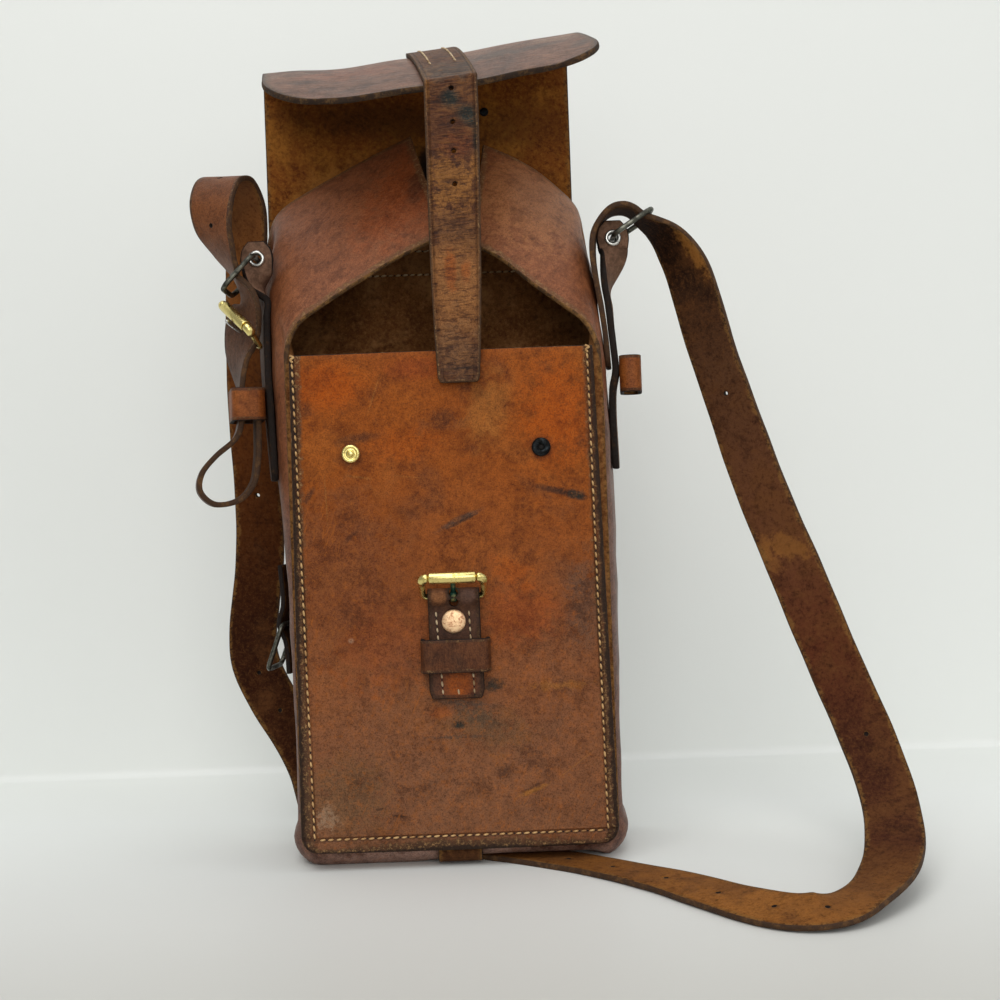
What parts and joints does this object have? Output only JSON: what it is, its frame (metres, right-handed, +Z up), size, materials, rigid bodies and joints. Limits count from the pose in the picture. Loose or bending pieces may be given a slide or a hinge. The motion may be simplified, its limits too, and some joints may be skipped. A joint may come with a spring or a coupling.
{
  "type": "leather field bag",
  "caption": "Tall leather field bag with an open drooping lid, a closing strap, a front roller buckle, side rings and a long buckled shoulder strap that trails on the floor.",
  "frame": {"origin": "on the surface that the bag stands on, below the middle of the body, where the shoulder strap passes under it", "axes": "+X to the right seen from the front, +Y from the front to the back, +Z up; the front panel faces -Y"},
  "size_m": [0.3582, 0.2479, 0.4397],
  "materials": {
    "tan_leather": "worn, waxed, orange tan",
    "brown_leather": "worn, glossy, reddish brown",
    "dark_leather": "oiled, nearly black brown",
    "brass": "polished with tarnish",
    "copper": "mottled copper",
    "dark_steel": "dark, worn to bright edges",
    "steel": "bare steel"
  },
  "bodies": {
    "bag": {"back_panel": "brown_leather", "bottom_keeper": "dark_leather", "chape_rivet": "copper", "closing_strap": "brown_leather", "drop_ring_loop": "dark_leather", "front_chape": "dark_leather", "front_keeper": "dark_leather", "front_panel": "tan_leather", "gusset": "brown_leather", "lid": "brown_leather", "lid_rivet": "dark_steel", "shoulder_strap": "brown_leather", "side_keeper_left": "brown_leather", "side_keeper_right": "brown_leather", "side_tab_left": "brown_leather", "side_tab_right": "brown_leather", "snap_eyelet": "dark_steel", "snap_post": "brass", "strap_buckle_frame": "brass", "strap_buckle_prong": "steel", "strap_buckle_roller": "brass", "strap_ring_left": "dark_steel", "strap_ring_right": "dark_steel", "tab_eyelet_left": "dark_steel", "tab_eyelet_right": "dark_steel"},
    "front_buckle": {"front_buckle_frame": "brass"},
    "front_prong": {"front_buckle_prong": "brass"},
    "front_roller": {"front_buckle_roller": "brass"},
    "drop_ring": {"drop_ring": "dark_steel"}
  },
  "joints": [
    {"name": "front_buckle_tilt", "type": "hinge", "parent": "bag", "child": "front_buckle", "pos_m": [0.0012, -0.0488, 0.137], "axis": [1, 0, 0], "range_deg": [-25, 100]},
    {"name": "front_prong_swing", "type": "hinge", "parent": "front_buckle", "child": "front_prong", "pos_m": [0.0012, -0.0488, 0.137], "axis": [-1, 0, 0], "range_deg": [-8, 15]},
    {"name": "front_roller_spin", "type": "hinge", "parent": "front_buckle", "child": "front_roller", "pos_m": [0.0012, -0.05987, 0.14697], "axis": [1, 0, 0], "continuous": true},
    {"name": "drop_ring_swing", "type": "hinge", "parent": "bag", "child": "drop_ring", "pos_m": [-0.09118, 0.02059, 0.1215], "axis": [0.131, 0.9914, 0], "range_deg": [-8, 90]}
  ]
}
